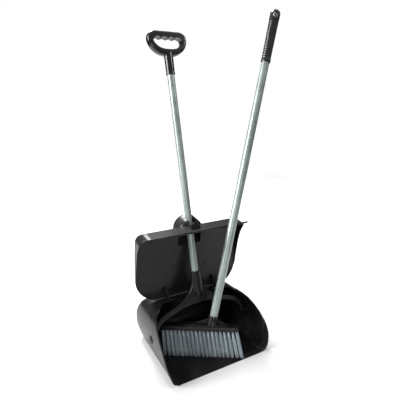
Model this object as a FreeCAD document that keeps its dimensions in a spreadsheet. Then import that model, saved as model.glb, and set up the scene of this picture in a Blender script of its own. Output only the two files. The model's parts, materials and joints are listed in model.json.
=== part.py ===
import FreeCAD, Part
import math
import os

import Sketcher

# Upright closing dust pan with a long handle, and the long brush that stands in it.
# Frame: origin on the floor below the handle's pivot, +X to the right, -Y to the pan's mouth, +Z up.

doc = FreeCAD.newDocument("dust_pan_set")
sheet = doc.addObject("Spreadsheet::Sheet", "dims")
sheet.Label = "dims"

DIMS = {
    "front_y": -122.0,
    "floor_half": 150.0,
    "pan_wall": 2.8,
    "pan_taper": 0.05,
    "pan_top": 150.0,
    "pan_back": 150.0,
    "rim_band": 1.2,
    "recess_y": 44.0,
    "pivot_z": 74.0,
    "pivot_rad": 5.0,
    "pivot_play": 0.06,
    "pin_seat": 163.8,
    "eye_rad": 13.0,
    "eye_in": 148.0,
    "eye_out": 156.6,
    "lean_deg": 13.8,
    "yoke_half": 7.5,
    "tube_rad": 10.5,
    "tube_wall": 1.0,
    "socket_top": 160.6,
    "neck_low": 743.5,
    "grip_top": 868.0,
    "hinge_y": 52.0,
    "hinge_z": 146.0,
    "hinge_x": 82.6,
    "hinge_pin_rad": 2.0,
    "knuckle_rad": 5.0,
    "lid_tilt_deg": 10.75,
    "lid_half": 174.0,
    "lid_len": 219.9,
    "lid_wall": 2.5,
    "slot_half": 11.6,
    "head_yaw_deg": 33.5,
    "head_lean_deg": 15.2,
    "head_x": -27.5,
    "head_y": -60.5,
    "block_low": 76.0,
    "block_high": 12.0,
    "block_left": -128.0,
    "block_right": 100.0,
    "block_deep": 46.0,
    "pole_tilt_deg": 10.66,
    "pole_x": 27.3,
    "pole_z": 115.0,
    "pole_rad": 12.0,
    "pole_wall": 1.0,
    "pole_grip_low": 763.0,
    "pole_top": 920.0,
    "hang_at": 900.0,
    "hang_rad": 3.5,
}
for row, (alias, value) in enumerate(DIMS.items(), start=1):
    sheet.set("A%d" % row, alias)
    sheet.set("B%d" % row, str(value))
    sheet.setAlias("B%d" % row, alias)
doc.recompute()


def dim(alias):
    """Value of one driving dimension, as the sheet holds it."""
    return float(sheet.get(alias))


def vec(x, y, z):
    return FreeCAD.Vector(x, y, z)


def turned(axis, degrees, base=(0.0, 0.0, 0.0)):
    """Placement that turns about a row axis and then moves to base."""
    return FreeCAD.Placement(vec(*base), FreeCAD.Rotation(vec(*axis), degrees))


FRONT = dim("front_y")
WALL = dim("pan_wall")
TOP = dim("pan_top")
LID_WALL = dim("lid_wall")
LID_LEN = dim("lid_len")
LID_HALF = dim("lid_half")
PIVOT = (0.0, 0.0, dim("pivot_z"))
PIN_SEAT = dim("pin_seat")
HANDLE = turned((1, 0, 0), -dim("lean_deg"), PIVOT)
LID = turned((1, 0, 0), dim("lid_tilt_deg"), (0.0, dim("hinge_y"), dim("hinge_z")))

# The brush head's own frame: x along the block, z up the lean, y from the front row to the back.
HEAD_TURN = FreeCAD.Rotation(vec(0, 0, 1), -dim("head_yaw_deg")).multiply(
    FreeCAD.Rotation(vec(1, 0, 0), -dim("head_lean_deg"))
)
HEAD = FreeCAD.Placement(vec(dim("head_x"), dim("head_y"), WALL + 0.2), HEAD_TURN)
POLE = HEAD.multiply(turned((0, 1, 0), dim("pole_tilt_deg"), (dim("pole_x"), 22.0, dim("pole_z"))))


def spline(points):
    curve = Part.BSplineCurve()
    curve.interpolate([vec(*p) for p in points])
    return curve.toShape()


def line(start, end):
    return Part.makeLine(vec(*start), vec(*end))


def polygon(points):
    return Part.Face(Part.makePolygon([vec(*p) for p in list(points) + [points[0]]]))


def box(low, high):
    size = [b - a for a, b in zip(low, high)]
    return Part.makeBox(size[0], size[1], size[2], vec(*low))


def rod(radius, start, end):
    """Cylinder between two points."""
    path = vec(*end) - vec(*start)
    return Part.makeCylinder(radius, path.Length, vec(*start), path)


def edges_near(shape, test):
    """Edges whose every sample point passes the test."""
    found = []
    for edge in shape.Edges:
        samples = edge.discretize(5)
        if all(test(p) for p in samples):
            found.append(edge)
    return found


def feature(name, shape, placement=None):
    """Free-form sub-part, from one shape built by Part functions."""
    item = doc.addObject("Part::Feature", name)
    item.Label = name
    clean = shape.removeSplitter()
    item.Shape = clean.Solids[0] if len(clean.Solids) == 1 else clean
    if placement is not None:
        item.Placement = placement
    return item


def plane_of(body, role):
    for origin_part in body.Origin.OriginFeatures:
        if origin_part.Role == role:
            return origin_part
    raise ValueError("no plane " + role)


def turned_body(name, profile, placement, bindings=()):
    """Body turned about its own Z axis from a closed (radius, height) profile in the XZ plane."""
    body = doc.addObject("PartDesign::Body", name)
    body.Label = name
    sketch = body.newObject("Sketcher::SketchObject", name + "_sketch")
    sketch.AttachmentSupport = [(plane_of(body, "XZ_Plane"), "")]
    sketch.MapMode = "FlatFace"
    count = len(profile)
    for index in range(count):
        start = profile[index]
        end = profile[(index + 1) % count]
        sketch.addGeometry(Part.LineSegment(vec(start[0], start[1], 0), vec(end[0], end[1], 0)), False)
    for index in range(count):
        sketch.addConstraint(Sketcher.Constraint("Coincident", index, 2, (index + 1) % count, 1))
    for index, (radius, height) in enumerate(profile):
        for kind, value, axis_name in (("DistanceX", radius, "x"), ("DistanceY", height, "y")):
            number = sketch.addConstraint(Sketcher.Constraint(kind, -1, 1, index, 1, value))
            sketch.renameConstraint(number, "%s%d" % (axis_name, index))
    for constraint, expression in bindings:
        sketch.setExpression("Constraints." + constraint, expression)
    turn = body.newObject("PartDesign::Revolution", name + "_turn")
    turn.Profile = sketch
    turn.ReferenceAxis = (sketch, ["V_Axis"])
    turn.Angle = 360
    sketch.Visibility = False
    body.Tip = turn
    body.Placement = placement
    return body


# ---------------------------------------------------------------- pan

# Half of the pan's cross-section at its front edge, from the floor corner to the flat top.
SECTION = [
    (150.0, 0.0), (156.6, 14.0), (161.9, 30.0), (167.3, 51.0), (169.9, 75.0), (169.8, 92.0),
    (167.6, 109.5), (162.6, 125.5), (155.0, 136.0), (145.0, 143.5), (130.0, 148.5), (112.0, 150.0),
]
# The section runs on this far below the floor plane, which then trims it flat.
UNDERCUT = 1.2
# Line of the mouth's rim, seen from the side.
RIM = [
    (-122.0, 0.0), (-119.5, 30.0), (-112.0, 51.0), (-95.0, 75.0), (-77.0, 92.0), (-53.0, 109.5),
    (-26.0, 125.5), (-6.0, 135.0), (9.0, 142.0), (17.0, 149.0), (20.0, 158.0),
]


def section_wire(y, inset):
    """Closed cross-section of the pan at one depth, drawn in by the inset."""
    shift = dim("pan_taper") * (y - FRONT)
    side = []
    for index, (x, z) in enumerate(SECTION):
        before = SECTION[max(index - 1, 0)]
        after = SECTION[min(index + 1, len(SECTION) - 1)]
        along = vec(after[0] - before[0], 0, after[1] - before[1]).normalize()
        if index == 0:
            point = (x - inset * 1.25, inset)
        elif index == len(SECTION) - 1:
            point = (x, z - inset)
        else:
            point = (x - along.z * inset, z + along.x * inset)
        side.append((point[0] - shift, y, point[1]))
    side.insert(0, (side[0][0] - 0.6, y, side[0][2] - UNDERCUT))
    mirrored = [(-p[0], p[1], p[2]) for p in side]
    return Part.Wire([
        spline(side),
        line(side[-1], mirrored[-1]),
        spline(mirrored[::-1]),
        line(mirrored[0], side[0]),
    ])


def pan_solid(inset, back_round):
    """Closed barrel of the pan: its cross-section run back and met by its side outline."""
    run = Part.makeLoft([section_wire(-150.0, inset), section_wire(170.0, inset)], True, True)
    back = dim("pan_back") - inset
    corner = 44.0 - inset
    crown = 79.0 - inset
    centre = (back - corner, corner + inset)
    crown_at = (back - crown, 72.0)
    half = math.sqrt(0.5)
    outline = Part.Face(Part.Wire([
        line((-200, -160, inset), (-200, centre[0], inset)),
        Part.Arc(
            vec(-200, centre[0], inset),
            vec(-200, centre[0] + corner * half, centre[1] - corner * half),
            vec(-200, back, centre[1]),
        ).toShape(),
        line((-200, back, centre[1]), (-200, back, crown_at[1])),
        Part.Arc(
            vec(-200, back, crown_at[1]),
            vec(-200, crown_at[0] + crown * half, crown_at[1] + crown * half),
            vec(-200, crown_at[0], crown_at[1] + crown),
        ).toShape(),
        line((-200, crown_at[0], crown_at[1] + crown), (-200, -160, crown_at[1] + crown)),
        line((-200, -160, crown_at[1] + crown), (-200, -160, inset)),
    ]))
    solid = run.common(outline.extrude(vec(400, 0, 0)))
    ends = edges_near(solid, lambda p: p.y > centre[0] - 6.0 and abs(p.x) > 100.0 and p.z > inset + 0.4)
    return solid.makeFillet(back_round, ends)


def mouth_cutter(shift_y, shift_z):
    """Everything in front of and above the rim line, as one block."""
    curve = [(-250.0, p[0] + shift_y, p[1] + shift_z) for p in RIM]
    first = curve[0]
    last = curve[-1]
    face = Part.Face(Part.Wire([
        spline(curve),
        line(last, (-250, last[1], 260)),
        line((-250, last[1], 260), (-250, -260, 260)),
        line((-250, -260, 260), (-250, -260, -30)),
        line((-250, -260, -30), (-250, first[1], -30)),
        line((-250, first[1], -30), first),
    ]))
    return face.extrude(vec(500, 0, 0))


def recess_cutter():
    """Plan outline that takes the mouth's top edge back to the lid's hinge."""
    back = dim("recess_y")
    side = [
        (132.0, 8.0, 120.0), (122.0, 24.0, 120.0), (112.0, 36.0, 120.0),
        (98.0, back - 1.0, 120.0), (84.0, back, 120.0),
    ]
    mirrored = [(-p[0], p[1], p[2]) for p in side]
    face = Part.Face(Part.Wire([
        spline(side),
        line(side[-1], mirrored[-1]),
        spline(mirrored[::-1]),
        line(mirrored[0], (-132, -60, 120)),
        line((-132, -60, 120), (132, -60, 120)),
        line((132, -60, 120), side[0]),
    ]))
    return face.extrude(vec(0, 0, 60))


def build_pan():
    outer = pan_solid(0.0, 26.0)
    inner = pan_solid(WALL, 23.4)
    mouth = mouth_cutter(0.0, 0.0)
    shell = outer.cut(inner).cut(mouth)
    band_outer = pan_solid(-dim("rim_band"), 27.0)
    strip = mouth_cutter(6.0, -3.0).cut(mouth)
    band = band_outer.cut(inner).common(strip).common(box((-260, -260, 0), (260, 260, 260)))
    shell = shell.fuse(band).cut(recess_cutter())
    for side in (-1, 1):
        x = side * dim("hinge_x")
        notch = box((x - 13.6, 20.0, 135.0), (x + 13.6, 58.0, 170.0))
        shell = shell.cut(notch)
        boss = rod(15.0, (side * 157.2, 0, PIVOT[2]), (side * 162.5, 0, PIVOT[2]))
        bore = rod(dim("pivot_rad"), (side * 120.0, 0, PIVOT[2]), (side * 200.0, 0, PIVOT[2]))
        spot_face = rod(12.0, (side * PIN_SEAT, 0, PIVOT[2]), (side * 200.0, 0, PIVOT[2]))
        shell = shell.fuse(boss).cut(bore).cut(spot_face)
    ramp = polygon([
        (-200, -130, 1.2), (-200, FRONT, 1.2), (-200, FRONT + 16.0, WALL + 0.02), (-200, -130, WALL + 3.0),
    ])
    shell = shell.cut(ramp.extrude(vec(400, 0, 0)).common(box((-148, -140, 0), (148, -90, 8))))
    left = shell.common(box((-300, -300, -50), (0, 300, 300)))
    return left.fuse(left.mirror(vec(0, 0, 0), vec(1, 0, 0)))


feature("pan_shell", build_pan())

for side, word in ((-1, "left"), (1, "right")):
    pin_turn = turned((0, 1, 0), -90.0 * side, (side * (PIN_SEAT + 0.05), 0, PIVOT[2]))
    pin_profile = [
        (0, -2.6), (9.5, -2.6), (11.5, -1.4), (11.5, 0), (5.0, 0),
        (5.0, 16.4), (8.0, 16.4), (8.0, 18.0), (6.5, 19.2), (0, 19.2),
    ]
    turned_body(
        "pivot_pin_" + word,
        pin_profile,
        pin_turn,
        [("x4", "dims.pivot_rad"), ("x5", "dims.pivot_rad")],
    )


def build_bracket(side):
    """Pan half of one lid hinge: a plate under the top wall with two knuckles."""
    x = side * dim("hinge_x")
    y = dim("hinge_y")
    z = dim("hinge_z")
    under = TOP - WALL
    shape = box((x - 12.4, 58.6, under - 3.6), (x + 12.4, 76.0, under))
    for near, far in ((-12.4, -6.3), (6.3, 12.4)):
        shape = shape.fuse(box((x + near, y, under - 3.6), (x + far, 59.0, under)))
        shape = shape.fuse(rod(dim("knuckle_rad"), (x + near, y, z), (x + far, y, z)))
    shape = shape.cut(rod(dim("hinge_pin_rad"), (x - 20, y, z), (x + 20, y, z)))
    for offset in (-7.0, 7.0):
        shape = shape.cut(rod(1.6, (x + offset, 67.5, under - 10), (x + offset, 67.5, under + 10)))
    return shape


for side, word in ((-1, "left"), (1, "right")):
    feature("hinge_bracket_" + word, build_bracket(side))
    pin = doc.addObject("Part::Cylinder", "hinge_pin_" + word)
    pin.Label = "hinge_pin_" + word
    pin.setExpression("Radius", "dims.hinge_pin_rad")
    pin.Height = 26.8
    pin.Placement = turned((0, 1, 0), 90, (side * dim("hinge_x") - 13.4, dim("hinge_y"), dim("hinge_z")))

# ---------------------------------------------------------------- handle

# Right half of the wishbone's outline in its own plane: across, and up from the pivot.
YOKE_TOP = [
    (15.0, 150.0), (17.0, 124.0), (26.0, 106.0), (48.0, 85.0), (78.0, 68.0),
    (108.0, 59.5), (132.0, 49.0), (149.0, 34.0), (156.4, 10.0),
]
YOKE_LOW = [(143.2, 2.0), (138.5, 20.0), (124.0, 35.0), (98.0, 46.0), (70.0, 55.0), (38.0, 61.5), (0.0, 63.5)]

YOKE_ROUND = 5.0


def build_yoke():
    half = dim("yoke_half")
    top = [(x, -half, z) for x, z in YOKE_TOP]
    low = [(x, -half, z) for x, z in YOKE_LOW]
    low_all = low + [(-p[0], p[1], p[2]) for p in low[-2::-1]]
    mirrored = [(-p[0], p[1], p[2]) for p in top]
    face = Part.Face(Part.Wire([
        spline(top),
        line(top[-1], low[0]),
        spline(low_all),
        line(low_all[-1], mirrored[-1]),
        spline(mirrored[::-1]),
        line(mirrored[0], top[0]),
    ]))
    plate = face.extrude(vec(0, 2 * half, 0))
    rims = edges_near(plate, lambda p: abs(abs(p.y) - half) < 0.01 and abs(p.x) < 156.5)
    plate = plate.makeFillet(YOKE_ROUND, [e for e in rims if e.Length > 40.0])
    socket = Part.makeCone(16.5, 14.2, 60.6, vec(0, 0, 100.0))
    flare = Part.makeCone(YOKE_ROUND, 16.5, 34.0, vec(0, 0, 66.0))
    yoke = plate.fuse(socket).fuse(flare)
    for side in (-1, 1):
        yoke = yoke.fuse(rod(dim("eye_rad"), (side * dim("eye_in"), 0, 0), (side * dim("eye_out"), 0, 0)))
    for side in (-1, 1):
        bore = dim("pivot_rad") + dim("pivot_play")
        yoke = yoke.cut(rod(bore, (side * 130.0, 0, 0), (side * 170.0, 0, 0)))
        inside = rod(14.0, (side * 120.0, 0, 0), (side * dim("eye_in"), 0, 0))
        yoke = yoke.cut(inside)
    return yoke.cut(rod(dim("tube_rad"), (0, 0, 104.0), (0, 0, 170.0)))


def build_d_grip():
    """Hand loop: a bow with a straight bar across its top, on a round neck."""
    outer = [
        (0.0, 797.0), (24.0, 800.0), (47.0, 813.0), (60.5, 834.0),
        (60.0, 855.0), (48.0, 865.5), (24.0, 867.6), (0.0, 868.0),
    ]
    inner = [(0.0, 815.0), (22.0, 817.0), (38.0, 826.0), (46.0, 839.0), (42.5, 846.5)]

    def loop(points, depth):
        right = [(x, depth, z) for x, z in points]
        left = [(-x, depth, z) for x, z in points[-2:0:-1]]
        curve = Part.BSplineCurve()
        curve.interpolate([vec(*p) for p in right + left], PeriodicFlag=True)
        return Part.Face(Part.Wire(curve.toShape()))

    body = loop(outer, -11.0).extrude(vec(0, 22.0, 0))
    side = [(x, -20.0, z) for x, z in inner]
    mirrored = [(-p[0], p[1], p[2]) for p in side]
    scallops = []
    for index in range(4):
        left = -42.5 + index * 21.25
        scallops.append(Part.Arc(
            vec(left, -20.0, 846.5), vec(left + 10.625, -20.0, 850.3), vec(left + 21.25, -20.0, 846.5)
        ).toShape())
    full = [p for p in mirrored[::-1]] + side[1:]
    hole = Part.Face(Part.Wire([spline(full)] + scallops)).extrude(vec(0, 40.0, 0))
    body = body.makeFillet(7.0, edges_near(body, lambda p: abs(abs(p.y) - 11.0) < 0.01))
    body = body.cut(hole)
    neck = Part.makeCone(12.4, 13.6, 62.0, vec(0, 0, dim("neck_low")))
    collar = rod(13.4, (0, 0, dim("neck_low")), (0, 0, dim("neck_low") + 5.0))
    body = body.fuse(neck).fuse(collar)
    return body.cut(rod(dim("tube_rad"), (0, 0, 700.0), (0, 0, 780.0)))


feature("handle_yoke", build_yoke(), HANDLE)
feature("d_grip", build_d_grip(), HANDLE)
turned_body(
    "pan_tube",
    [(9.5, 104.5), (10.5, 104.5), (10.5, 779.5), (9.5, 779.5)],
    HANDLE,
    [
        ("x0", "dims.tube_rad - dims.tube_wall"), ("x1", "dims.tube_rad"),
        ("x2", "dims.tube_rad"), ("x3", "dims.tube_rad - dims.tube_wall"),
    ],
)

# ---------------------------------------------------------------- lid

# Side line of the lid's outer face: out from the chord, and up from the hinge.
LID_LINE = [
    (18.5, 3.0), (25.0, 12.0), (31.5, 25.0), (39.0, 50.0), (44.0, 75.0),
    (48.5, 105.0), (52.0, 140.0), (53.6, 172.0), (53.6, 204.0),
]
# Lower edge of the lid's side walls, which laps the outside of the pan's rim.
LID_HEM = [
    (0.0, 217.4), (14.0, 205.0), (25.5, 187.0), (33.0, 160.0), (35.6, 134.0), (36.6, 104.0),
    (37.0, 80.0), (36.6, 64.0), (34.8, 50.0), (31.0, 36.0), (26.0, 22.0), (17.0, 6.0), (6.0, -12.0),
]


def lid_solid(inset, end_round):
    """Closed body of the lid: its side outline met by its rounded plan outline."""
    half = LID_HALF - inset
    line_points = [(-250.0, d - inset, s) for d, s in LID_LINE]
    start = (-250.0, 18.5 - inset, -20.0)
    far = LID_LEN - inset
    crown = line_points[-1]
    bend = far - crown[2]
    half_turn = math.sqrt(0.5)
    outline = Part.Face(Part.Wire([
        line((-250, -30, -20), start),
        line(start, line_points[0]),
        spline(line_points),
        Part.Arc(
            vec(*crown),
            vec(-250, crown[1] - bend + bend * half_turn, crown[2] + bend * half_turn),
            vec(-250, crown[1] - bend, far),
        ).toShape(),
        line((-250, crown[1] - bend, far), (-250, -30, far)),
        line((-250, -30, far), (-250, -30, -20)),
    ])).extrude(vec(500, 0, 0))
    low = 3.0 if inset == 0 else -37.0
    plan = box((-half, -40, low), (half, 120, far))
    near = edges_near(plan, lambda p: abs(p.z - low) < 0.01 and abs(abs(p.x) - half) < 0.01)
    plan = plan.makeFillet(62.0, near)
    ends = edges_near(plan, lambda p: abs(p.z - far) < 0.01 and abs(abs(p.x) - half) < 0.01)
    plan = plan.makeFillet(end_round, ends)
    return outline.common(plan)


HOOD_ROUND = 16.0


def hood_solid(inset):
    """Hump round the handle's tube: a wide arch behind, and a narrow nose towards the lip."""
    top = 236.0 - inset
    wide = 41.0 - inset
    narrow = 15.6 - inset
    wide_side = polygon([
        (-100, 40, 150 + inset), (-100, 53, 150 + inset), (-100, 98 - inset, 182 + inset),
        (-100, 98 - inset, top), (-100, 38 + inset, top),
        (-100, 38 + inset, 190), (-100, 40, 190),
    ]).extrude(vec(200, 0, 0))
    arch = box((-wide, 0, 140), (wide, 120, top - wide)).fuse(
        rod(wide, (0, 0, top - wide), (0, 120, top - wide))
    )
    nose_side = polygon([
        (-100, 60, 190), (-100, 60, top), (-100, 27.4 + inset, top),
        (-100, 17.5 + inset, 217.5), (-100, 17.5 + inset, 190),
    ]).extrude(vec(200, 0, 0))
    ridge = box((-narrow, 0, 150), (narrow, 120, top - narrow)).fuse(
        rod(narrow, (0, 0, top - narrow), (0, 120, top - narrow))
    )
    hump = wide_side.common(arch)
    back = edges_near(hump, lambda p: abs(p.y - (98 - inset)) < 0.01)
    hump = hump.makeFillet(HOOD_ROUND - inset, back)
    brow = edges_near(hump, lambda p: abs(p.y - (38 + inset)) < 0.01 and p.z > 192)
    hump = hump.makeFillet(HOOD_ROUND - inset, brow)
    return hump.fuse(nose_side.common(ridge))


def build_lid():
    outer = lid_solid(0.0, 30.0)
    inner = lid_solid(LID_WALL, 27.5)
    hem = [(-250.0, d, s) for d, s in LID_HEM]
    cutter = Part.Face(Part.Wire([
        spline(hem),
        line(hem[-1], (-250, -60, -12)),
        line((-250, -60, -12), (-250, -60, 217.4)),
        line((-250, -60, 217.4), hem[0]),
    ])).extrude(vec(500, 0, 0))
    shell = outer.fuse(hood_solid(0.0)).cut(inner).cut(hood_solid(LID_WALL))
    shell = shell.cut(cutter).cut(box((-300, -60, 100), (300, 0, 300)))
    lip = box((-172, 1.0, 217.4), (172, 3.5, 222.6))
    shell = shell.fuse(lip)
    half = dim("slot_half")
    slot = polygon([
        (-half, 19.4, 214.0), (-half, 34.2, 250.0), (-half, 140.0, 250.0),
        (-half, 99.5, 214.0), (-half, 60.0, 180.0),
    ])
    return shell.cut(slot.extrude(vec(2 * half, 0, 0)))


feature("lid_shell", build_lid(), LID)


def build_finger(side):
    """Lid half of one hinge: a knuckle on a tapered rib."""
    x = side * dim("hinge_x")
    rib = polygon([
        (x - 3.0, -4.6, 1.0), (x - 3.0, -3.0, 10.0), (x - 3.0, 8.0, 24.0), (x - 3.0, 30.6, 33.0),
        (x - 3.0, 28.0, 23.0), (x - 3.0, 23.4, 13.0), (x - 3.0, 9.0, 8.2), (x - 3.0, 4.6, 2.0),
    ]).extrude(vec(6.0, 0, 0))
    knuckle = rod(dim("knuckle_rad"), (x - 6.0, 0, 0), (x + 6.0, 0, 0))
    return rib.fuse(knuckle).cut(rod(dim("hinge_pin_rad") + 0.05, (x - 20, 0, 0), (x + 20, 0, 0)))


for side, word in ((-1, "left"), (1, "right")):
    feature("lid_finger_" + word, build_finger(side), LID)

# ---------------------------------------------------------------- brush

BLOCK_LOW = dim("block_low")
BLOCK_TOP = BLOCK_LOW + dim("block_high")
ROWS = [5.0 + 9.0 * index for index in range(5)]
TUFTS = 19


def tuft_line(column, row_y):
    """Root and foot of one tuft: all lean one way, and the end ones fan out."""
    share = 2.0 * column / (TUFTS - 1) - 1.0
    root_x = -14.0 + 107.5 * share
    reach = BLOCK_LOW + 40.0
    slope = 0.165 + 0.06 * share ** 5
    foot = vec(root_x + slope * reach, row_y, BLOCK_LOW - reach)
    return vec(root_x, row_y, BLOCK_LOW), foot


def build_row(row_y):
    """One row of tufts, trimmed level with the pan's floor."""
    tufts = []
    for column in range(TUFTS):
        root, foot = tuft_line(column, row_y)
        path = foot - root
        cone = Part.makeCone(3.3, 4.9, path.Length, root, path)
        tufts.append(cone.fuse(Part.makeCylinder(3.0, 6.0, root, vec(0, 0, 1))))
    low = HEAD.inverse().multVec(vec(0, 0, WALL + 0.3))
    up = HEAD.inverse().Rotation.multVec(vec(0, 0, 1))
    slab = Part.makeBox(600, 600, 120)
    slab.Placement = FreeCAD.Placement(low, FreeCAD.Rotation(vec(0, 0, 1), up)).multiply(
        FreeCAD.Placement(vec(-300, -300, -120), FreeCAD.Rotation())
    )
    return Part.makeCompound([tuft.cut(slab) for tuft in tufts])


def build_block():
    left = dim("block_left")
    right = dim("block_right")
    deep = dim("block_deep")
    slab = box((left, 0, BLOCK_LOW), (right, deep, BLOCK_TOP))
    corners = [e for e in slab.Edges if e.BoundBox.ZLength > 5]
    slab = slab.makeFillet(9.0, corners)
    rims = edges_near(slab, lambda p: abs(p.z - BLOCK_TOP) < 0.01)
    slab = slab.makeFillet(3.5, rims)
    pad = polygon([
        (-62, 7, BLOCK_TOP - 1), (-38, 5, BLOCK_TOP - 1), (40, 5, BLOCK_TOP - 1), (62, 7, BLOCK_TOP - 1),
        (62, 37, BLOCK_TOP - 1), (40, 39, BLOCK_TOP - 1), (-38, 39, BLOCK_TOP - 1), (-62, 37, BLOCK_TOP - 1),
    ]).extrude(vec(0, 0, 4.0))
    block = slab.fuse(pad)
    tilt = math.tan(math.radians(dim("pole_tilt_deg")))

    def on_pole(z):
        return dim("pole_x") + (z - dim("pole_z")) * tilt

    for reach, high in ((-74.0, 113.0), (46.0, 110.0)):
        gusset = polygon([
            (on_pole(high), 19.0, high), (on_pole(high) + reach, 19.0, BLOCK_TOP + 1.0),
            (on_pole(high) + reach, 19.0, BLOCK_TOP - 2.0), (on_pole(BLOCK_TOP), 19.0, BLOCK_TOP - 2.0),
        ]).extrude(vec(0, 6.0, 0))
        block = block.fuse(gusset)
    turn = turned((0, 1, 0), dim("pole_tilt_deg"), (dim("pole_x"), 22.0, dim("pole_z")))
    socket = Part.makeCone(18.5, 15.2, 30.0, vec(0, 0, -30.0))
    socket.Placement = turn
    block = block.fuse(socket)
    trim = box((-200, -50, BLOCK_LOW - 40), (200, 100, BLOCK_LOW))
    block = block.cut(trim)
    seat = Part.makeCylinder(dim("pole_rad"), 60.0, vec(0, 0, -20.0))
    seat.Placement = turn
    block = block.cut(seat)
    holes = []
    for row_y in ROWS:
        for column in range(TUFTS):
            root, foot = tuft_line(column, row_y)
            holes.append(Part.makeCylinder(3.0, 6.0, root, vec(0, 0, 1)))
    return block.cut(Part.makeCompound(holes))


feature("brush_block", build_block(), HEAD)
for number, row_y in enumerate(ROWS, start=1):
    feature("bristle_row_%d" % number, build_row(row_y), HEAD)
turned_body(
    "brush_tube",
    [(11.0, -20.0), (12.0, -20.0), (12.0, 790.0), (11.0, 790.0)],
    POLE,
    [
        ("x0", "dims.pole_rad - dims.pole_wall"), ("x1", "dims.pole_rad"),
        ("x2", "dims.pole_rad"), ("x3", "dims.pole_rad - dims.pole_wall"),
    ],
)


def build_pole_grip():
    """Ribbed hand grip with a domed end and a hole to hang it by."""
    low = dim("pole_grip_low")
    high = dim("pole_top")
    points = [(12.0, low), (14.0, low), (14.6, low + 3.0)]
    for index in range(16):
        z = low + 12.0 + index * 7.0
        grow = 0.9 * index / 15.0
        points += [(13.7 + grow, z), (12.9 + grow, z + 1.4), (12.9 + grow, z + 3.4), (13.7 + grow, z + 4.8)]
    points += [(15.0, high - 24.0), (15.0, high - 10.0), (13.4, high - 4.6), (9.6, high - 1.2)]
    points += [(5.0, high), (0, high)]
    points += [(0, 790.4), (12.0, 790.4)]
    face = Part.Face(Part.makePolygon([vec(r, 0, z) for r, z in points + [points[0]]]))
    grip = face.revolve(vec(0, 0, 0), vec(0, 0, 1), 360)
    return grip.cut(rod(dim("hang_rad"), (0, -40, dim("hang_at")), (0, 40, dim("hang_at"))))


feature("brush_grip", build_pole_grip(), POLE)

# ---------------------------------------------------------------- checks and export

doc.recompute()
os.makedirs("parts", exist_ok=True)
NODES = [o for o in doc.Objects if o.TypeId in ("PartDesign::Body", "Part::Feature", "Part::Cylinder")]
for item in doc.Objects:
    if "Invalid" in item.State or "Error" in item.State:
        raise RuntimeError("%s has state %s" % (item.Name, item.State))
for item in NODES:
    if item.Shape.isNull() or not item.Shape.isValid():
        raise RuntimeError(item.Label + " has no valid shape")
    solids = len(item.Shape.Solids)
    print(item.Label, item.Shape.ShapeType, solids, round(item.Shape.Volume), item.Shape.BoundBox)
for item in NODES:
    item.Shape.exportStep("parts/%s.step" % item.Label)
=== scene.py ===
"""Finishes and small pieces of the upright dust pan with its standing brush."""

import json
import logging
import math
import random
from collections.abc import Sequence
from dataclasses import dataclass, field
from enum import Enum

import bmesh
import bpy
from mathutils import Matrix, Vector
from mathutils.bvhtree import BVHTree


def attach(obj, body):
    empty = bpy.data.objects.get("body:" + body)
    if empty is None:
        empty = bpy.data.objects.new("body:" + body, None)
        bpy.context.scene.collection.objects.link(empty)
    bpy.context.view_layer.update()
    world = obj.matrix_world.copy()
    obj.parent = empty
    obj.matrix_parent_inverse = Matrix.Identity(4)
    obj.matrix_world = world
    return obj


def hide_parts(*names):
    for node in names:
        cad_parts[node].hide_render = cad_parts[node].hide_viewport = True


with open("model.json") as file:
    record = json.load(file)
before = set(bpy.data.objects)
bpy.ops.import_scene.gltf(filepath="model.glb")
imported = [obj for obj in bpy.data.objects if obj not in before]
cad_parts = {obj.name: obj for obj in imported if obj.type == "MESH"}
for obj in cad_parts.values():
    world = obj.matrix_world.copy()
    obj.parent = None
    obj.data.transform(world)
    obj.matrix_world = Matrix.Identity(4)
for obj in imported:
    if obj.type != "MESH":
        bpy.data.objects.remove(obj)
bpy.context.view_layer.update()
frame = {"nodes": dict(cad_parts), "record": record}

LOG = logging.getLogger("dust_pan_set")
MM = 0.001

# Frames of the moving parts at rest, as the parts themselves stand.
HANDLE = Matrix.Translation((0.0, 0.0, 0.074)) @ Matrix.Rotation(math.radians(-13.8), 4, "X")
LID = Matrix.Translation((0.0, 0.052, 0.146)) @ Matrix.Rotation(math.radians(10.75), 4, "X")
HEAD = (
    Matrix.Translation((-0.0275, -0.0605, 0.003))
    @ Matrix.Rotation(math.radians(-33.5), 4, "Z")
    @ Matrix.Rotation(math.radians(-15.2), 4, "X")
)
POLE = HEAD @ Matrix.Translation((0.0273, 0.022, 0.115)) @ Matrix.Rotation(math.radians(10.66), 4, "Y")
PAN_FLOOR = 0.0028

# Radius and height of a flat rivet head, from its crown to just under the skin.
RIVET_DOME = [(0.0, 1.3), (1.4, 1.15), (2.4, 0.7), (2.9, 0.1), (2.9, -0.6)]


class Slot(Enum):
    """Material slots of the record, one for each finish."""

    PAN = "pan_plastic"
    BLOCK = "block_plastic"
    GRIP = "grip_plastic"
    PIN = "pin_plastic"
    STEEL = "steel"
    TUBE = "painted_tube"
    BRISTLE = "bristle"


class Body(Enum):
    """Bodies that the pieces ride on."""

    PAN = "pan"
    HANDLE = "handle"
    LID = "lid"
    BRUSH = "brush"


def linear(code: str) -> tuple[float, float, float, float]:
    """Turn a hex sRGB colour into the linear RGBA that a shader takes.

    Args:
        code: Colour such as "#1c1c1d".

    Returns:
        Linear red, green, blue and an alpha of 1.
    """
    parts = [int(code[i:i + 2], 16) / 255.0 for i in (1, 3, 5)]
    flat = [c / 12.92 if c <= 0.04045 else ((c + 0.055) / 1.055) ** 2.4 for c in parts]
    return (flat[0], flat[1], flat[2], 1.0)


def per_mm(size: float) -> float:
    """Noise scale, per metre, of a pattern whose features are some millimetres across."""
    return 1000.0 / size


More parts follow.
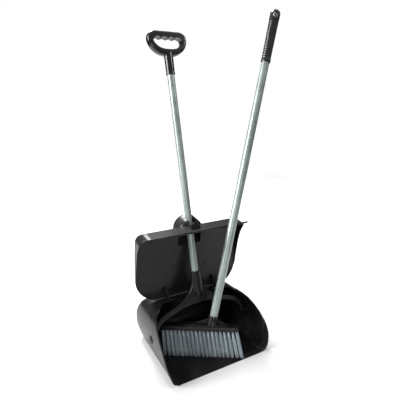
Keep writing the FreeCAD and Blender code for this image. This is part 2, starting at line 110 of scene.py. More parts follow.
def add_node(
    tree: bpy.types.NodeTree, kind: str, settings: dict | None = None, **inputs: object,
) -> bpy.types.Node:
    """Add one node, set its options, and fill or link its inputs.

    Args:
        tree: Node tree that takes the node.
        kind: Blender's name for the node type.
        settings: Options of the node itself, by attribute name.
        inputs: Values or output sockets by input name, with underscores for spaces.

    Returns:
        The new node.
    """
    made = tree.nodes.new(kind)
    for name, value in (settings or {}).items():
        setattr(made, name, value)
    for name, value in inputs.items():
        key = int(name[1:]) if name[0] == "i" and name[1:].isdigit() else name.replace("_", " ")
        if isinstance(value, bpy.types.NodeSocket):
            tree.links.new(value, made.inputs[key])
        else:
            made.inputs[key].default_value = value
    return made


def add_ramp(tree: bpy.types.NodeTree, fac: bpy.types.NodeSocket, stops: list) -> bpy.types.NodeSocket:
    """Add a colour ramp.

    Args:
        tree: Node tree that takes the ramp.
        fac: Socket that drives it.
        stops: Pairs of position and linear colour, in order.

    Returns:
        The ramp's colour socket.
    """
    ramp = add_node(tree, "ShaderNodeValToRGB", Fac=fac)
    bar = ramp.color_ramp.elements
    while len(bar) < len(stops):
        bar.new(0.5)
    for stop, (place, colour) in zip(bar, stops):
        stop.position = place
        stop.color = colour
    return ramp.outputs["Color"]


def grey(level: float) -> tuple[float, float, float, float]:
    """Linear grey of one level, for ramps that carry a number."""
    return (level, level, level, 1.0)


def fresh_material(name: str) -> tuple[bpy.types.Material, bpy.types.NodeTree, bpy.types.Node]:
    """Start a node material with only its shader and output.

    Args:
        name: Name of the real material.

    Returns:
        The material, its node tree and its Principled shader.
    """
    made = bpy.data.materials.new(name)
    made.use_nodes = True
    tree = made.node_tree
    tree.nodes.clear()
    shader = tree.nodes.new("ShaderNodeBsdfPrincipled")
    output = tree.nodes.new("ShaderNodeOutputMaterial")
    tree.links.new(shader.outputs["BSDF"], output.inputs["Surface"])
    return made, tree, shader


@dataclass(frozen=True)
class MouldedPlastic:
    """Black injection-moulded plastic: a fine eroded grain, slow gloss clouds and faint dusty scuffs."""

    name: str
    base: str
    cloud: str
    scuff: str
    gloss: float
    gloss_spread: float
    grain_mm: float
    grain_lift: float
    scuff_share: float
    coat: float = 0.0
    coat_gloss: float = 0.16
    mirror: float = 0.17
    cloud_mm: float = 62.5
    scuff_long_mm: float = 33.3
    scuff_wide_mm: float = 5.26
    patch_mm: float = 111.0
    sink_mm: float = 45.5

    def build(self) -> bpy.types.Material:
        """Build the node material.

        Returns:
            The finished material.
        """
        made, tree, shader = fresh_material(self.name)
        where = add_node(tree, "ShaderNodeTexCoord").outputs["Object"]
        # Slow clouds in the black, as melt flow leaves them over some 60 mm.
        cloud = add_node(
            tree, "ShaderNodeTexNoise", Vector=where, Scale=per_mm(self.cloud_mm), Detail=3.0, Roughness=0.55)
        body = add_ramp(tree, cloud.outputs["Fac"], [(0.3, linear(self.base)), (0.72, linear(self.cloud))])
        # Thin dusty scuffs that run mostly one way, from the work of sweeping.
        along = per_mm(self.scuff_long_mm)
        across = per_mm(self.scuff_wide_mm)
        stretch = add_node(tree, "ShaderNodeMapping", Vector=where, Scale=(along, across, along))
        stretch.inputs["Rotation"].default_value = (0.5, 0.3, 0.6)
        streak = add_node(
            tree, "ShaderNodeTexNoise", Vector=stretch.outputs[0], Scale=1.0, Detail=5.0, Roughness=0.65)
        low = 0.66 * (1.0 - self.scuff_share)
        worn = add_ramp(tree, streak.outputs["Fac"], [(low, grey(0.0)), (low + 0.2, grey(1.0))])
        # The scuffs gather in worn patches about a hand's breadth apart.
        patch = add_node(
            tree, "ShaderNodeTexNoise", Vector=where, Scale=per_mm(self.patch_mm), Detail=2.0, Roughness=0.5)
        where_worn = add_ramp(tree, patch.outputs["Fac"], [(0.5, grey(0.0)), (0.68, grey(1.0))])
        amount = add_node(tree, "ShaderNodeMath", {"operation": "MULTIPLY"}, i0=worn, i1=where_worn)
        faint = add_node(tree, "ShaderNodeMath", {"operation": "MULTIPLY"}, i0=amount.outputs[0], i1=0.45)
        colour = add_node(
            tree, "ShaderNodeMix", {"data_type": "RGBA"}, i0=faint.outputs[0], i6=body, i7=linear(self.scuff))
        tree.links.new(colour.outputs[2], shader.inputs["Base Color"])
        # Gloss varies with the clouds, so the broad reflections break up softly.
        rough = add_ramp(
            tree, cloud.outputs["Fac"],
            [(0.25, grey(self.gloss)), (0.75, grey(self.gloss + self.gloss_spread))],
        )
        scuffed = add_node(
            tree, "ShaderNodeMath", {"operation": "MULTIPLY_ADD"}, i0=amount.outputs[0], i1=0.18, i2=rough,
        )
        tree.links.new(scuffed.outputs[0], shader.inputs["Roughness"])
        # The mould's eroded grain, with a shallow sink-mark ripple under it.
        grain = add_node(tree, "ShaderNodeTexNoise", Vector=where, Scale=per_mm(self.grain_mm), Detail=2.0)
        sink = add_node(tree, "ShaderNodeTexNoise", Vector=where, Scale=per_mm(self.sink_mm), Detail=1.0)
        ripple = add_node(
            tree, "ShaderNodeBump", Height=sink.outputs["Fac"], Strength=0.10, Distance=0.6 * MM,
        )
        bump = add_node(
            tree, "ShaderNodeBump", Height=grain.outputs["Fac"], Strength=self.grain_lift,
            Distance=0.12 * MM, Normal=ripple.outputs[0],
        )
        tree.links.new(bump.outputs[0], shader.inputs["Normal"])
        shader.inputs["Specular IOR Level"].default_value = self.mirror
        shader.inputs["Coat Weight"].default_value = self.coat
        shader.inputs["Coat Roughness"].default_value = self.coat_gloss
        return made


@dataclass(frozen=True)
class PowderCoat:
    """Pale grey-green powder coat on steel tube: orange peel, a slow drift of shade and a satin gloss."""

    name: str
    base: str
    shade: str
    gloss: float
    peel_mm: float
    drift_mm: float = 41.7
    fleck_mm: float = 0.77
    metal_share: float = 0.45

    def build(self) -> bpy.types.Material:
        """Build the node material.

        Returns:
            The finished material.
        """
        made, tree, shader = fresh_material(self.name)
        where = add_node(tree, "ShaderNodeTexCoord").outputs["Object"]
        # Coat thickness drifts slowly along the tube, and shows as a faint change of shade.
        drift = add_node(
            tree, "ShaderNodeTexNoise", Vector=where, Scale=per_mm(self.drift_mm), Detail=4.0, Roughness=0.6)
        fleck = add_node(tree, "ShaderNodeTexNoise", Vector=where, Scale=per_mm(self.fleck_mm), Detail=1.0)
        tone = add_node(
            tree, "ShaderNodeMath", {"operation": "MULTIPLY_ADD"},
            i0=fleck.outputs["Fac"], i1=0.22, i2=drift.outputs["Fac"],
        )
        colour = add_ramp(tree, tone.outputs[0], [(0.35, linear(self.shade)), (0.78, linear(self.base))])
        tree.links.new(colour, shader.inputs["Base Color"])
        # Rubbed places are a little glossier than the coat.
        smooth, dull = grey(self.gloss - 0.06), grey(self.gloss + 0.08)
        rough = add_ramp(tree, drift.outputs["Fac"], [(0.3, smooth), (0.7, dull)])
        tree.links.new(rough, shader.inputs["Roughness"])
        # Orange peel, as powder flows out in the oven.
        peel = add_node(tree, "ShaderNodeTexNoise", Vector=where, Scale=per_mm(self.peel_mm), Detail=1.0)
        bump = add_node(tree, "ShaderNodeBump", Height=peel.outputs["Fac"], Strength=0.22, Distance=0.15 * MM)
        tree.links.new(bump.outputs[0], shader.inputs["Normal"])
        # Fine metal flake in the powder gives the tube its long soft streak of light.
        shader.inputs["Metallic"].default_value = self.metal_share
        shader.inputs["Coat Weight"].default_value = 0.12
        shader.inputs["Coat Roughness"].default_value = 0.25
        return made


@dataclass(frozen=True)
class TurnedSteel:
    """Zinc-plated steel of pins and screws: bright, with fine turning lines."""

    name: str
    base: str
    dull: str
    bloom_mm: float = 3.125
    line_mm: float = 0.385
    line_long_mm: float = 5.56

    def build(self) -> bpy.types.Material:
        """Build the node material.

        Returns:
            The finished material.
        """
        made, tree, shader = fresh_material(self.name)
        where = add_node(tree, "ShaderNodeTexCoord").outputs["Object"]
        # A passivated bloom over the bright plate.
        bloom = add_node(tree, "ShaderNodeTexNoise", Vector=where, Scale=per_mm(self.bloom_mm), Detail=4.0)
        colour = add_ramp(tree, bloom.outputs["Fac"], [(0.35, linear(self.dull)), (0.65, linear(self.base))])
        tree.links.new(colour, shader.inputs["Base Color"])
        rough = add_ramp(tree, bloom.outputs["Fac"], [(0.3, grey(0.24)), (0.7, grey(0.42))])
        tree.links.new(rough, shader.inputs["Roughness"])
        # Turning lines, drawn coarser than real ones so that they still show.
        long = per_mm(self.line_long_mm)
        lines = add_node(tree, "ShaderNodeMapping", Vector=where, Scale=(per_mm(self.line_mm), long, long))
        turning = add_node(tree, "ShaderNodeTexNoise", Vector=lines.outputs[0], Scale=1.0, Detail=1.0)
        bump = add_node(
            tree, "ShaderNodeBump", Height=turning.outputs["Fac"], Strength=0.3, Distance=0.05 * MM)
        tree.links.new(bump.outputs[0], shader.inputs["Normal"])
        shader.inputs["Metallic"].default_value = 1.0
        return made


@dataclass(frozen=True)
class BristleStrand:
    """Blue-grey soft nylon strand: each its own shade, paler and duller at the flagged tip."""

    name: str
    dark: str
    middle: str
    pale: str
    tip: str

    def build(self) -> bpy.types.Material:
        """Build the node material.

        Returns:
            The finished material.
        """
        made, tree, shader = fresh_material(self.name)
        tone = add_node(tree, "ShaderNodeAttribute", {"attribute_name": "tone"})
        reach = add_node(tree, "ShaderNodeAttribute", {"attribute_name": "reach"})
        stops = [(0.0, linear(self.dark)), (0.5, linear(self.middle)), (1.0, linear(self.pale))]
        body = add_ramp(tree, tone.outputs["Fac"], stops)
        # Split ends scatter more light over the last quarter of the strand.
        ends = add_ramp(tree, reach.outputs["Fac"], [(0.62, grey(0.0)), (1.0, grey(0.6))])
        colour = add_node(tree, "ShaderNodeMix", {"data_type": "RGBA"}, i0=ends, i6=body, i7=linear(self.tip))
        tree.links.new(colour.outputs[2], shader.inputs["Base Color"])
        gloss = add_ramp(tree, reach.outputs["Fac"], [(0.4, grey(0.42)), (1.0, grey(0.68))])
        tree.links.new(gloss, shader.inputs["Roughness"])
        shader.inputs["Sheen Weight"].default_value = 0.15
        return made


FINISHES = {
    Slot.PAN: MouldedPlastic(
        name="black_polypropylene", base="#0c0c0d", cloud="#131315", scuff="#3a3a3c",
        gloss=0.30, gloss_spread=0.12, grain_mm=0.8, grain_lift=0.14, scuff_share=0.30, coat=0.12,
    ),
    Slot.BLOCK: MouldedPlastic(
        name="black_block_plastic", base="#0c0c0e", cloud="#131316", scuff="#3a3b3e",
        gloss=0.24, gloss_spread=0.10, grain_mm=0.6, grain_lift=0.12, scuff_share=0.26, coat=0.12,
    ),
    Slot.GRIP: MouldedPlastic(
        name="gloss_grip_plastic", base="#09090a", cloud="#0e0e0f", scuff="#2a2a2c",
        gloss=0.20, gloss_spread=0.08, grain_mm=0.9, grain_lift=0.08, scuff_share=0.20, coat=0.5,
    ),
    Slot.PIN: MouldedPlastic(
        name="black_acetal", base="#0a0a0b", cloud="#101011", scuff="#2c2c2e",
        gloss=0.34, gloss_spread=0.10, grain_mm=0.5, grain_lift=0.12, scuff_share=0.22,
    ),
    Slot.STEEL: TurnedSteel(name="zinc_plated_steel", base="#c6c8ca", dull="#8f9396"),
    Slot.TUBE: PowderCoat(
        name="grey_powder_coat", base="#8a9490", shade="#75807c", gloss=0.36, peel_mm=1.1),
    Slot.BRISTLE: BristleStrand(
        name="soft_nylon_bristle", dark="#6c7a82", middle="#93a1a9", pale="#bac5ca", tip="#b9c4c8"),
}


@dataclass
class Workshop:
    """Keeps the built materials, and turns finished bmeshes into pieces of the set."""

    materials: dict = field(default_factory=dict)
    count: int = 0

    def dress_frame(self) -> None:
        """Give every part of the frame the finish of its slot."""
        for slot, finish in FINISHES.items():
            self.materials[slot] = finish.build()
        by_node = {part["node"]: Slot(part["material_slot"]) for part in frame["record"]["subparts"]}
        for name, part in frame["nodes"].items():
            material = self.materials[by_node[name]]
            if part.data.materials:
                for index in range(len(part.data.materials)):
                    part.data.materials[index] = material
            else:
                part.data.materials.append(material)
        LOG.info("dressed %d frame parts", len(frame["nodes"]))

    def finish_piece(
        self, name: str, mesh: bmesh.types.BMesh, slot: Slot, body: Body, smooth: bool = True,
    ) -> bpy.types.Object:
        """Turn a bmesh into a piece that rides on a body.

        Args:
            name: Name of the piece.
            mesh: Its shape, in the set's own frame. It is freed.
            slot: Finish that it takes.
            body: Body that it rides on.
            smooth: Whether its faces are smooth-shaded.

        Returns:
            The piece.
        """
        data = bpy.data.meshes.new(name)
        for face in mesh.faces:
            face.smooth = smooth
        mesh.to_mesh(data)
        mesh.free()
        piece = bpy.data.objects.new(name, data)
        bpy.context.scene.collection.objects.link(piece)
        data.materials.append(self.materials[slot])
        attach(piece, body.value)
        self.count += 1
        LOG.info("%s: %d faces, rides on %s", name, len(data.polygons), body.value)
        return piece


def turned_profile(profile: Sequence, place: Matrix, steps: int = 32) -> bmesh.types.BMesh:
    """Spin a radius-and-height profile about its own Z axis.

    Args:
        profile: Pairs of radius and height in millimetres, from the axis or in a closed ring.
        place: Where the axis stands.
        steps: Facets round the axis.

    Returns:
        A closed bmesh with its faces turned outwards.
    """
    mesh = bmesh.new()
    points = [mesh.verts.new((r * MM, 0.0, z * MM)) for r, z in profile]
    edges = [mesh.edges.new(pair) for pair in zip(points, points[1:])]
    bmesh.ops.spin(
        mesh, geom=points + edges, cent=(0, 0, 0), axis=(0, 0, 1), angle=math.tau,
        steps=steps, use_merge=True, use_duplicate=False,
    )
    bmesh.ops.remove_doubles(mesh, verts=mesh.verts, dist=0.002 * MM)
    bmesh.ops.recalc_face_normals(mesh, faces=mesh.faces)
    bmesh.ops.transform(mesh, matrix=place, verts=mesh.verts)
    return mesh


def facing(point: Vector, normal: Vector) -> Matrix:
    """Placement at a point with its Z axis along a normal.

    Args:
        point: Where it stands.
        normal: Direction of its Z axis.

    Returns:
        The placement.
    """
    return Matrix.Translation(point) @ normal.to_track_quat("Z", "Y").to_matrix().to_4x4()


def skin_hit(node: str, start: Vector, towards: Vector) -> Matrix:
    """Find where a line first meets a frame part.

    Args:
        node: Name of the part.
        start: Start of the line.
        towards: Its direction.

    Returns:
        A placement on the skin, with Z standing out of it towards the start.
    """
    data = frame["nodes"][node].data
    tree = BVHTree.FromPolygons([v.co for v in data.vertices], [tuple(p.vertices) for p in data.polygons])
    point, normal, _, _ = tree.ray_cast(start, towards.normalized())
    if point is None:
        raise ValueError("no skin of " + node + " on that line")
    if normal.dot(towards) > 0.0:
        normal = -normal
    return facing(point, normal)


@dataclass
class Screw:
    """Small domed screw with a round socket, which stands on the plate that it holds."""

    radius: float = 2.8
    height: float = 1.7
    edge_round: float = 0.9
    socket: float = 1.25
    depth: float = 0.9
    crown_inset: float = 0.25
    crown_lift: float = 0.08

    def build(self, place: Matrix) -> bmesh.types.BMesh:
        """Model the head.

        Args:
            place: Placement on the surface, Z outwards.

        Returns:
            The head's bmesh.
        """
        mesh = bmesh.new()
        bmesh.ops.create_circle(mesh, cap_ends=True, segments=24, radius=self.radius * MM)
        base = list(mesh.faces)
        grown = bmesh.ops.extrude_face_region(mesh, geom=base)
        top = [g for g in grown["geom"] if isinstance(g, bmesh.types.BMFace)]
        lifted = [g for g in grown["geom"] if isinstance(g, bmesh.types.BMVert)]
        bmesh.ops.translate(mesh, vec=(0, 0, self.height * MM), verts=lifted)
        rim = [e for f in top for e in f.edges]
        bmesh.ops.bevel(
            mesh, geom=rim, offset=self.edge_round * MM, offset_type="OFFSET", segments=4, profile=0.5,
            affect="EDGES", material=-1,
        )
        crown = max(mesh.faces, key=lambda f: f.calc_center_median().z)
        bmesh.ops.inset_region(
            mesh, faces=[crown], thickness=self.crown_inset * MM, depth=self.crown_lift * MM)
        crown = max(mesh.faces, key=lambda f: (round(f.calc_center_median().z, 6), f.calc_area()))
        land = self.radius - self.edge_round - self.crown_inset - self.socket
        bmesh.ops.inset_region(mesh, faces=[crown], thickness=land * MM)
        sunk = bmesh.ops.extrude_face_region(mesh, geom=[crown])
        pit = [g for g in sunk["geom"] if isinstance(g, bmesh.types.BMVert)]
        bmesh.ops.translate(mesh, vec=(0, 0, -self.depth * MM), verts=pit)
        if crown.is_valid:
            bmesh.ops.delete(mesh, geom=[crown], context="FACES_ONLY")
        bmesh.ops.recalc_face_normals(mesh, faces=mesh.faces)
        bmesh.ops.transform(mesh, matrix=place, verts=mesh.verts)
        return mesh


@dataclass
class PanDetails:
    """Small parts of the pan: hinge screws, hinge pin heads and the raised rings on the pivot pins."""

    hinge_x: float = 82.6
    hinge_y: float = 52.0
    hinge_z: float = 146.0
    pin_half: float = 13.4
    screw_y: float = 67.5
    screw_half_gap: float = 7.0
    plate_z: float = 143.6
    pivot_z: float = 74.0
    pin_face: float = 166.45
    ring: tuple = ((0.0, 0.05), (2.2, 0.05), (2.6, 0.45), (3.4, 0.7), (4.2, 0.45), (4.6, -0.2))
    pin_head: tuple = ((0.0, 0.9), (1.6, 0.8), (2.5, 0.4), (2.7, 0.0), (2.7, -0.3), (1.9, -0.3))

    def build(self, shop: Workshop) -> None:
        """Model and dress every small part of the pan.

        Args:
            shop: Workshop that finishes the pieces.
        """
        for side, word in ((-1, "left"), (1, "right")):
            self.screws(shop, side, word)
            seat = facing(Vector((side * self.pin_face, 0, self.pivot_z)) * MM, Vector((side, 0, 0)))
            shop.finish_piece("pin_boss_" + word, turned_profile(self.ring, seat), Slot.PIN, Body.PAN)
            self.pin_heads(shop, side, word)

    def screws(self, shop: Workshop, side: int, word: str) -> None:
        """Set the two screws that hold one hinge bracket, heads down under the pan's top.

        Args:
            shop: Workshop that finishes the pieces.
            side: -1 on the left and 1 on the right.
            word: Name of that side.
        """
        for index, offset in enumerate((-self.screw_half_gap, self.screw_half_gap), start=1):
            spot = Vector((side * self.hinge_x + offset, self.screw_y, self.plate_z)) * MM
            head = Screw().build(facing(spot, Vector((0, 0, -1))))
            name = "hinge_screw_%s_%d" % (word, index)
            shop.finish_piece(name, head, Slot.STEEL, Body.PAN, smooth=False)

    def pin_heads(self, shop: Workshop, side: int, word: str) -> None:
        """Set the heads on both ends of one hinge pin.

        Args:
            shop: Workshop that finishes the pieces.
            side: -1 on the left and 1 on the right.
            word: Name of that side.
        """
        for end in (-self.pin_half, self.pin_half):
            tip = Vector((side * self.hinge_x + end, self.hinge_y, self.hinge_z)) * MM
            place = facing(tip, Vector((math.copysign(1.0, end), 0, 0)))
            name = "hinge_pin_head_%s_%s" % (word, "outer" if end * side > 0 else "inner")
            shop.finish_piece(name, turned_profile(self.pin_head, place, 20), Slot.STEEL, Body.PAN)


@dataclass
class LidDetails:
    """Small parts of the cover's inner face: two gate marks, and a stop beside the handle's tube."""

    boss: tuple = ((0.0, 1.5), (1.2, 1.5), (1.5, 1.9), (2.4, 1.9), (2.9, 1.4), (3.3, -0.3))
    stop: tuple = ((0.0, 5.4), (2.4, 5.3), (3.4, 4.6), (3.8, 3.2), (5.2, 0.9), (6.6, -0.3))
    boss_half_gap: float = 58.0
    boss_height: float = 74.0
    stop_x: float = -25.0
    stop_height: float = 176.0

    def build(self, shop: Workshop) -> None:
        """Model and dress every small part of the cover.

        Args:
            shop: Workshop that finishes the pieces.
        """
        spots = (
            ("cover_boss", -self.boss_half_gap, self.boss_height, self.boss),
            ("cover_stop", self.stop_x, self.stop_height, self.stop),
            ("cover_boss_right", self.boss_half_gap, self.boss_height, self.boss),
        )
        inward = LID.to_3x3() @ Vector((0, 1, 0))
        for name, across, along, profile in spots:
            start = LID @ (Vector((across, -20.0, along)) * MM)
            place = skin_hit("lid_shell", start, inward)
            shop.finish_piece(name, turned_profile(profile, place), Slot.PAN, Body.LID)


@dataclass
class HandleDetails:
    """Small parts of the handle: the rivets that hold its tube in the yoke and in the grip."""

    yoke_rivet_height: float = 146.0
    grip_rivet_height: float = 758.0
    clear: float = 60.0

    def build(self, shop: Workshop) -> None:
        """Model and dress every small part of the handle.

        Args:
            shop: Workshop that finishes the pieces.
        """
        forward = HANDLE.to_3x3() @ Vector((0, 1, 0))
        for name, node, height in (
            ("yoke_rivet", "handle_yoke", self.yoke_rivet_height),
            ("grip_rivet", "d_grip", self.grip_rivet_height),
        ):
            for face, sign in (("front", 1.0), ("back", -1.0)):
                start = HANDLE @ (Vector((0.0, -self.clear * sign, height)) * MM)
                place = skin_hit(node, start, forward * sign)
                head = turned_profile(RIVET_DOME, place, 20)
                shop.finish_piece("%s_%s" % (name, face), head, Slot.PIN, Body.HANDLE)


@dataclass
class BrushDetails:
    """Small parts of the brush: the pad's raised frame, the socket's rivet and the hanging eye."""

    pad_x: float = -32.0
    pad_y: float = 22.0
    pad_top: float = 91.0
    frame_long: float = 46.0
    frame_wide: float = 20.0
    frame_corner: float = 6.0
    frame_band: float = 1.1
    frame_thick: float = 1.0
    rivet_height: float = -9.0
    hang_at: float = 900.0
    hang_x: float = 5.2
    clear: float = 60.0
    eye: tuple = ((3.6, -1.2), (3.6, 0.3), (4.0, 0.7), (4.8, 0.7), (5.4, 0.1), (5.6, -1.2), (3.6, -1.2))

    def raised_frame(self) -> bmesh.types.BMesh:
        """Model the plain raised frame on the block's pad.

        Returns:
            The frame's bmesh.
        """
        mesh = bmesh.new()
        bmesh.ops.create_grid(mesh, x_segments=1, y_segments=1, size=0.5)
        bmesh.ops.scale(mesh, vec=(self.frame_long * MM, self.frame_wide * MM, 1.0), verts=mesh.verts)
        bmesh.ops.bevel(
            mesh, geom=list(mesh.verts), offset=self.frame_corner * MM, offset_type="OFFSET", segments=5,
            profile=0.5, affect="VERTICES", material=-1,
        )
        inner = bmesh.ops.inset_region(
            mesh, faces=list(mesh.faces), thickness=self.frame_band * MM, use_boundary=True)
        band = list(inner["faces"])
        middle = [f for f in mesh.faces if f not in band]
        bmesh.ops.delete(mesh, geom=middle, context="FACES")
        bmesh.ops.solidify(mesh, geom=list(mesh.faces), thickness=self.frame_thick * MM)
        bmesh.ops.recalc_face_normals(mesh, faces=mesh.faces)
        place = HEAD @ Matrix.Translation(Vector((self.pad_x, self.pad_y, self.pad_top + 0.4)) * MM)
        bmesh.ops.transform(mesh, matrix=place, verts=mesh.verts)
        return mesh

    def build(self, shop: Workshop) -> None:
        """Model and dress every small part of the brush.

        Args:
            shop: Workshop that finishes the pieces.
        """
        shop.finish_piece("pad_frame", self.raised_frame(), Slot.BLOCK, Body.BRUSH)
        forward = POLE.to_3x3() @ Vector((0, 1, 0))
        start = POLE @ (Vector((0.0, -self.clear, self.rivet_height)) * MM)
        place = skin_hit("brush_block", start, forward)
        shop.finish_piece("socket_rivet", turned_profile(RIVET_DOME, place, 20), Slot.PIN, Body.BRUSH)
        for face, sign in (("front", 1.0), ("back", -1.0)):
            eye = turned_profile(self.eye, self.eye_seat(forward * sign, sign), 24)
            shop.finish_piece("hang_eye_" + face, eye, Slot.STEEL, Body.BRUSH)

    def eye_seat(self, towards: Vector, sign: float) -> Matrix:
        """Find where one ring of the hanging eye sits: on the hole's axis, at the skin beside it.

        Args:
            towards: Direction into the grip from that face.
            sign: 1 on the front and -1 on the back.

        Returns:
            The ring's placement.
        """
        start = POLE @ (Vector((self.hang_x, -self.clear * sign, self.hang_at)) * MM)
        hit = skin_hit("brush_grip", start, towards)
        middle = POLE @ (Vector((0.0, 0.0, self.hang_at)) * MM)
        depth = (hit.translation - middle).dot(-towards)
        return facing(middle - towards * (depth + 0.6 * MM), -towards)


@dataclass
class BristleRow:
    """One row of tufts, each a splayed bundle of fine strands trimmed level with the pan's floor."""

    number: int
    tufts: int = 19
    strands: int = 62
    root_height: float = 77.5
    reach_down: float = 116.0
    half_row: float = 107.5
    middle_x: float = -14.0
    first_depth: float = 5.0
    row_pitch: float = 9.0
    lean: float = 0.165
    flare: float = 0.06
    root_spread: float = 3.2
    foot_spread: float = 6.0
    stray: float = 1.1
    uneven: float = 0.9
    bend: float = 0.9
    strand_radius: float = 0.36

    def strand_ends(self, share: float, seed: random.Random) -> tuple[Vector, Vector]:
        """Place one strand of a tuft.

        Args:
            share: Where the tuft stands in its row, from -1 to 1.
            seed: Source of the strand's own scatter.

        Returns:
            Root and tip in the set's frame.
        """
        depth = self.first_depth + self.row_pitch * (self.number - 1)
        across = self.middle_x + self.half_row * share
        angle = seed.uniform(0.0, math.tau)
        ring = math.sqrt(seed.random())
        out = Vector((math.cos(angle), math.sin(angle))) * ring
        root = Vector((
            across + out.x * self.root_spread,
            depth + out.y * self.root_spread,
            self.root_height,
        ))
        # Every tuft leans with the head, and the last few at each end flare out more.
        slope = self.lean + self.flare * share ** 5
        foot = Vector((
            across + slope * self.reach_down + out.x * self.foot_spread + seed.gauss(0.0, self.stray),
            depth + out.y * self.foot_spread + seed.gauss(0.0, self.stray),
            self.root_height - self.reach_down,
        ))
        top = HEAD @ (root * MM)
        low = HEAD @ (foot * MM)
        level = PAN_FLOOR + (0.5 + abs(seed.gauss(0.0, self.uneven))) * MM
        return top, top.lerp(low, (top.z - level) / (top.z - low.z))

    def build(self, shop: Workshop) -> bpy.types.Object:
        """Model the whole row.

        Args:
            shop: Workshop that finishes the piece.

        Returns:
            The row's piece.
        """
        seed = random.Random(410 + self.number)
        mesh = bmesh.new()
        tone = mesh.verts.layers.float.new("tone")
        reach = mesh.verts.layers.float.new("reach")
        curl_x = mesh.verts.layers.float.new("curl_x")
        curl_y = mesh.verts.layers.float.new("curl_y")
        for column in range(self.tufts):
            share = 2.0 * column / (self.tufts - 1) - 1.0
            tuft_tone = seed.uniform(0.32, 0.62)
            for _ in range(self.strands):
                top, tip = self.strand_ends(share, seed)
                along = tip - top
                place = facing(top.lerp(tip, 0.5), along)
                made = bmesh.ops.create_cone(
                    mesh, cap_ends=True, segments=3, radius1=self.strand_radius * MM,
                    radius2=self.strand_radius * 0.8 * MM, depth=along.length, matrix=place,
                )
                shade = min(max(seed.gauss(tuft_tone, 0.2), 0.0), 1.0)
                bend = (seed.gauss(0.0, self.bend) * MM, seed.gauss(0.0, self.bend) * MM)
                for vert in made["verts"]:
                    vert[tone] = shade
                    vert[reach] = 1.0 if (vert.co - tip).length < (vert.co - top).length else 0.0
                    vert[curl_x], vert[curl_y] = bend
        long_edges = [e for e in mesh.edges if e.calc_length() > 20.0 * MM]
        bmesh.ops.subdivide_edges(mesh, edges=long_edges, cuts=3)
        # Each strand bows a little about its middle, and keeps its root and its tip.
        for vert in mesh.verts:
            swing = 4.0 * vert[reach] * (1.0 - vert[reach])
            vert.co.x += vert[curl_x] * swing
            vert.co.y += vert[curl_y] * swing
        bmesh.ops.recalc_face_normals(mesh, faces=mesh.faces)
        piece = shop.finish_piece("bristles_%d" % self.number, mesh, Slot.BRISTLE, Body.BRUSH)
        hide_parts("bristle_row_%d" % self.number)
        return piece


@dataclass(frozen=True)
class Panel:
    """One soft square light: where it hangs, the point it faces, its watts and its side in metres."""

    name: str
    place: tuple
    aim: tuple
    power: float
    size: float

    def hang(self) -> None:
        """Hang the light in the scene."""
        lamp = bpy.data.lights.new(self.name, "AREA")
        lamp.energy = self.power
        lamp.size = self.size
        holder = bpy.data.objects.new(self.name, lamp)
        holder.location = self.place
        way = Vector(self.aim) - Vector(self.place)
        holder.rotation_euler = way.to_track_quat("-Z", "Y").to_euler()
        bpy.context.scene.collection.objects.link(holder)


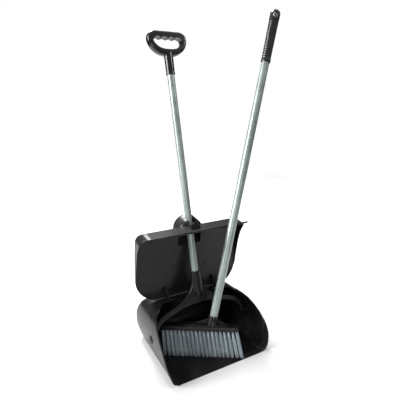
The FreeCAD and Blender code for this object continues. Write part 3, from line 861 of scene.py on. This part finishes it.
@dataclass
class Studio:
    """Pale floor, soft lights and the camera."""

    eye: tuple = (-0.523, -0.887, 0.728)
    azimuth: float = -30.3
    pitch: float = 14.7
    lens: float = 34.65
    sensor: float = 36.0
    floor_half: float = 2.0
    panels: tuple = (
        Panel("left_panel", (-2.5, 0.6, 1.5), (-0.1, 0.0, 0.2), 150.0, 1.6),
        Panel("right_panel", (2.2, -1.5, 2.4), (0.1, 0.0, 0.2), 34.0, 0.6),
        Panel("front_panel", (-1.3, -2.4, 0.8), (0.0, 0.0, 0.1), 16.0, 0.75),
        Panel("top_panel", (0.1, 1.6, 2.9), (0.0, 0.0, 0.2), 190.0, 1.05),
    )

    def floor(self) -> None:
        """Lay the plain pale floor."""
        mesh = bmesh.new()
        bmesh.ops.create_grid(mesh, x_segments=1, y_segments=1, size=self.floor_half)
        data = bpy.data.meshes.new("studio_floor")
        mesh.to_mesh(data)
        mesh.free()
        floor = bpy.data.objects.new("studio_floor", data)
        bpy.context.scene.collection.objects.link(floor)
        made, tree, shader = fresh_material("pale_paper")
        where = add_node(tree, "ShaderNodeTexCoord").outputs["Object"]
        mottle = add_node(tree, "ShaderNodeTexNoise", Vector=where, Scale=3.0, Detail=2.0)
        colour = add_ramp(tree, mottle.outputs["Fac"], [(0.3, linear("#bcbcbc")), (0.7, linear("#c2c2c2"))])
        tree.links.new(colour, shader.inputs["Base Color"])
        shader.inputs["Roughness"].default_value = 0.85
        data.materials.append(made)

    def sky(self) -> None:
        """Hang a white tent that is bright overhead, dim at the horizon and plain white behind the set."""
        world = bpy.data.worlds.new("studio")
        bpy.context.scene.world = world
        world.use_nodes = True
        tree = world.node_tree
        way = add_node(tree, "ShaderNodeTexCoord").outputs["Generated"]
        height = add_node(tree, "ShaderNodeSeparateXYZ", Vector=way).outputs["Z"]
        stops = [(0.0, grey(0.05)), (0.3, grey(0.12)), (0.75, grey(0.85)), (1.0, grey(1.0))]
        tent = add_ramp(tree, height, stops)
        seen = add_node(tree, "ShaderNodeLightPath").outputs["Is Camera Ray"]
        shade = add_node(tree, "ShaderNodeMix", {"data_type": "RGBA"}, i0=seen, i6=tent, i7=grey(1.0))
        tree.links.new(shade.outputs[2], tree.nodes["Background"].inputs["Color"])

    def build(self) -> None:
        """Set up floor, sky, lights and camera."""
        self.floor()
        self.sky()
        bpy.context.scene.view_settings.view_transform = "Standard"
        for panel in self.panels:
            panel.hang()
        lens = bpy.data.cameras.new("camera")
        lens.lens = self.lens
        lens.sensor_width = self.sensor
        camera = bpy.data.objects.new("camera", lens)
        camera.location = self.eye
        camera.rotation_euler = (math.radians(90.0 - self.pitch), 0.0, math.radians(self.azimuth))
        bpy.context.scene.collection.objects.link(camera)
        bpy.context.scene.camera = camera


def main() -> None:
    """Build the whole set in order."""
    logging.basicConfig(level=logging.INFO, format="%(message)s")
    shop = Workshop()
    shop.dress_frame()
    for number in range(1, 6):
        BristleRow(number).build(shop)
    PanDetails().build(shop)
    LidDetails().build(shop)
    HandleDetails().build(shop)
    BrushDetails().build(shop)
    Studio().build()
    LOG.info("%d pieces stand on the frame", shop.count)


if __name__ == "__main__":
    main()
